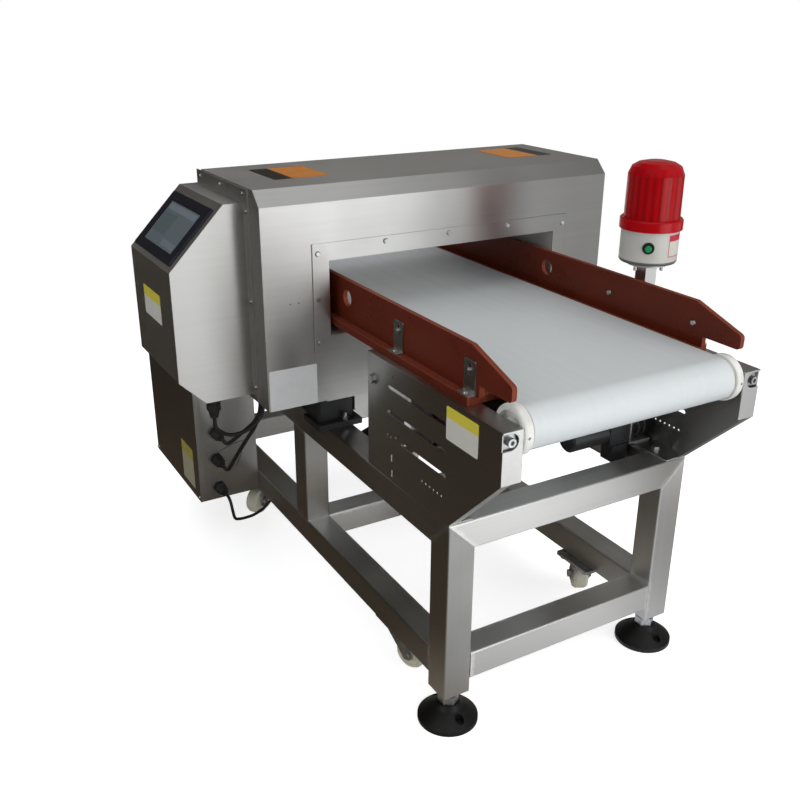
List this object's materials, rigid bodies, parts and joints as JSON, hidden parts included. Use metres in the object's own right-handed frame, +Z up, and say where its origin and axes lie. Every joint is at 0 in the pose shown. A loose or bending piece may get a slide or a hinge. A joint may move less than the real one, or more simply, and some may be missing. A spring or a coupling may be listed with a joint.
{
  "type": "conveyor metal detector",
  "caption": "Belt conveyor through a stainless tunnel-type metal detector head on a tube stand, with control box, cabinet, side guides and alarm beacon.",
  "frame": {"origin": "on the floor, midway between the four levelling feet, under the middle of the detector head", "axes": "+X the way the belt travels, towards the outfeed; +Y towards the beacon side, away from the operator; +Z up"},
  "size_m": [1.33, 0.8554, 0.86],
  "materials": {
    "stainless": "brushed stainless sheet and tube",
    "zinc": "bright zinc plated steel",
    "machined_steel": "turned steel",
    "pad_black": "moulded black nylon",
    "nylon_cream": "cast nylon, slightly yellowed",
    "nylon_white": "white nylon",
    "belt_white": "smooth white food belt",
    "phenolic": "red-brown phenolic laminate, satin",
    "black_plastic": "black moulded plastic",
    "motor_black": "black enamel",
    "liner_grey": "light glass-fibre laminate",
    "coil_copper": "varnished copper winding",
    "screen_glass": "dark glossy display glass",
    "circuit_green": "circuit board and parts",
    "cable_black": "black cable jacket",
    "beacon_white": "glossy white moulding",
    "lens_red": "translucent red moulding",
    "button_green": "green button",
    "reflector_bright": "bright reflector"
  },
  "bodies": {
    "machine": {"legs": "stainless", "middle_posts": "stainless", "side_rails": "stainless", "cross_rails": "stainless", "caster_plates": "zinc", "side_plates": "stainless", "bolts": "zinc", "slider_bed": "phenolic", "wear_sheet": "nylon_white", "belt": "belt_white", "fixed_shafts": "machined_steel", "bearing_blocks": "black_plastic", "toothed_belt": "cable_black", "gearmotor": "motor_black", "motor_bracket": "stainless", "guides": "phenolic", "guide_brackets": "stainless", "dome_screws": "zinc", "head_shell": "stainless", "tunnel_liner": "liner_grey", "tunnel_frames": "stainless", "search_coils": "coil_copper", "head_base": "stainless", "isolating_mounts": "black_plastic", "control_box": "stainless", "screen_bezel": "black_plastic", "screen_glass": "screen_glass", "electronics": "circuit_green", "cabinet_shell": "stainless", "cabinet_lid": "stainless", "cable_glands": "black_plastic", "cables": "cable_black", "beacon_post": "stainless", "beacon_base": "beacon_white", "beacon_lens": "lens_red"},
    "foot_outfeed_left": {"foot_pad_outfeed_left": "pad_black", "foot_stud_outfeed_left": "zinc"},
    "fork_outfeed_left": {"caster_fork_outfeed_left": "zinc"},
    "wheel_outfeed_left": {"caster_wheel_outfeed_left": "nylon_cream"},
    "foot_outfeed_right": {"foot_pad_outfeed_right": "pad_black", "foot_stud_outfeed_right": "zinc"},
    "fork_outfeed_right": {"caster_fork_outfeed_right": "zinc"},
    "wheel_outfeed_right": {"caster_wheel_outfeed_right": "nylon_cream"},
    "foot_infeed_left": {"foot_pad_infeed_left": "pad_black", "foot_stud_infeed_left": "zinc"},
    "fork_infeed_left": {"caster_fork_infeed_left": "zinc"},
    "wheel_infeed_left": {"caster_wheel_infeed_left": "nylon_cream"},
    "foot_infeed_right": {"foot_pad_infeed_right": "pad_black", "foot_stud_infeed_right": "zinc"},
    "fork_infeed_right": {"caster_fork_infeed_right": "zinc"},
    "wheel_infeed_right": {"caster_wheel_infeed_right": "nylon_cream"},
    "take_up": {"outfeed_shaft": "machined_steel"},
    "outfeed_roller_body": {"outfeed_roller": "nylon_white"},
    "infeed_roller_body": {"infeed_roller": "nylon_white"},
    "outfeed_snub_body": {"outfeed_snub_roller": "machined_steel"},
    "infeed_snub_body": {"infeed_snub_roller": "machined_steel"},
    "drive_body": {"drive_roller": "machined_steel"},
    "gearbox_output": {"gearbox_pulley": "machined_steel"},
    "reflector_body": {"beacon_reflector": "reflector_bright"},
    "button_body": {"beacon_button": "button_green"}
  },
  "joints": [
    {"name": "foot_outfeed_left_height", "type": "slide", "parent": "machine", "child": "foot_outfeed_left", "axis": [0, 0, 1], "range_m": [-0.02, 0.01]},
    {"name": "caster_outfeed_left_swivel", "type": "hinge", "parent": "machine", "child": "fork_outfeed_left", "pos_m": [0.348, -0.208, 0.07], "axis": [0, 0, 1], "continuous": true},
    {"name": "caster_outfeed_left_roll", "type": "hinge", "parent": "fork_outfeed_left", "child": "wheel_outfeed_left", "pos_m": [0.37243, -0.19911, 0.032], "axis": [-0.342, 0.9397, 0], "continuous": true},
    {"name": "foot_outfeed_right_height", "type": "slide", "parent": "machine", "child": "foot_outfeed_right", "axis": [0, 0, 1], "range_m": [-0.02, 0.01]},
    {"name": "caster_outfeed_right_swivel", "type": "hinge", "parent": "machine", "child": "fork_outfeed_right", "pos_m": [0.348, 0.208, 0.07], "axis": [0, 0, 1], "continuous": true},
    {"name": "caster_outfeed_right_roll", "type": "hinge", "parent": "fork_outfeed_right", "child": "wheel_outfeed_right", "pos_m": [0.32548, 0.221, 0.032], "axis": [-0.5, -0.866, 0], "continuous": true},
    {"name": "foot_infeed_left_height", "type": "slide", "parent": "machine", "child": "foot_infeed_left", "axis": [0, 0, 1], "range_m": [-0.02, 0.01]},
    {"name": "caster_infeed_left_swivel", "type": "hinge", "parent": "machine", "child": "fork_infeed_left", "pos_m": [-0.3, -0.208, 0.07], "axis": [0, 0, 1], "continuous": true},
    {"name": "caster_infeed_left_roll", "type": "hinge", "parent": "fork_infeed_left", "child": "wheel_infeed_left", "pos_m": [-0.28472, -0.22903, 0.032], "axis": [0.809, 0.5878, 0], "continuous": true},
    {"name": "foot_infeed_right_height", "type": "slide", "parent": "machine", "child": "foot_infeed_right", "axis": [0, 0, 1], "range_m": [-0.02, 0.01]},
    {"name": "caster_infeed_right_swivel", "type": "hinge", "parent": "machine", "child": "fork_infeed_right", "pos_m": [-0.3, 0.208, 0.07], "axis": [0, 0, 1], "continuous": true},
    {"name": "caster_infeed_right_roll", "type": "hinge", "parent": "fork_infeed_right", "child": "wheel_infeed_right", "pos_m": [-0.32443, 0.19911, 0.032], "axis": [0.342, -0.9397, 0], "continuous": true},
    {"name": "take_up_slide", "type": "slide", "parent": "machine", "child": "take_up", "axis": [1, 0, 0], "range_m": [-0.006, 0]},
    {"name": "outfeed_roller_spin", "type": "hinge", "parent": "take_up", "child": "outfeed_roller_body", "pos_m": [0.628, 0, 0.5665], "axis": [0, 1, 0], "continuous": true},
    {"name": "infeed_roller_spin", "type": "hinge", "parent": "machine", "child": "infeed_roller_body", "pos_m": [-0.628, 0, 0.5665], "axis": [0, 1, 0], "continuous": true},
    {"name": "outfeed_snub_spin", "type": "hinge", "parent": "machine", "child": "outfeed_snub_body", "pos_m": [0.31, 0, 0.54], "axis": [0, 1, 0], "continuous": true},
    {"name": "infeed_snub_spin", "type": "hinge", "parent": "machine", "child": "infeed_snub_body", "pos_m": [-0.31, 0, 0.54], "axis": [0, 1, 0], "continuous": true},
    {"name": "drive_spin", "type": "hinge", "parent": "machine", "child": "drive_body", "pos_m": [0.382, 0, 0.48], "axis": [0, 1, 0], "continuous": true},
    {"name": "gearbox_output_spin", "type": "hinge", "parent": "machine", "child": "gearbox_output", "pos_m": [0.432, 0, 0.408], "axis": [0, 1, 0], "continuous": true},
    {"name": "reflector_spin", "type": "hinge", "parent": "machine", "child": "reflector_body", "pos_m": [0.387, 0.255, 0.756], "axis": [0, 0, 1], "continuous": true},
    {"name": "button_press", "type": "slide", "parent": "machine", "child": "button_body", "axis": [-0.7071, 0.7071, 0], "range_m": [0, 0.002], "stiffness_N_per_m": 400, "springref_m": -0.001}
  ],
  "couplings": [
    {"joint": "outfeed_roller_spin", "follows": "drive_spin", "ratio": 1.2615},
    {"joint": "infeed_roller_spin", "follows": "drive_spin", "ratio": 1.2615},
    {"joint": "outfeed_snub_spin", "follows": "drive_spin", "ratio": -1.3226},
    {"joint": "infeed_snub_spin", "follows": "drive_spin", "ratio": -1.3226},
    {"joint": "gearbox_output_spin", "follows": "drive_spin", "ratio": 1.3723}
  ]
}
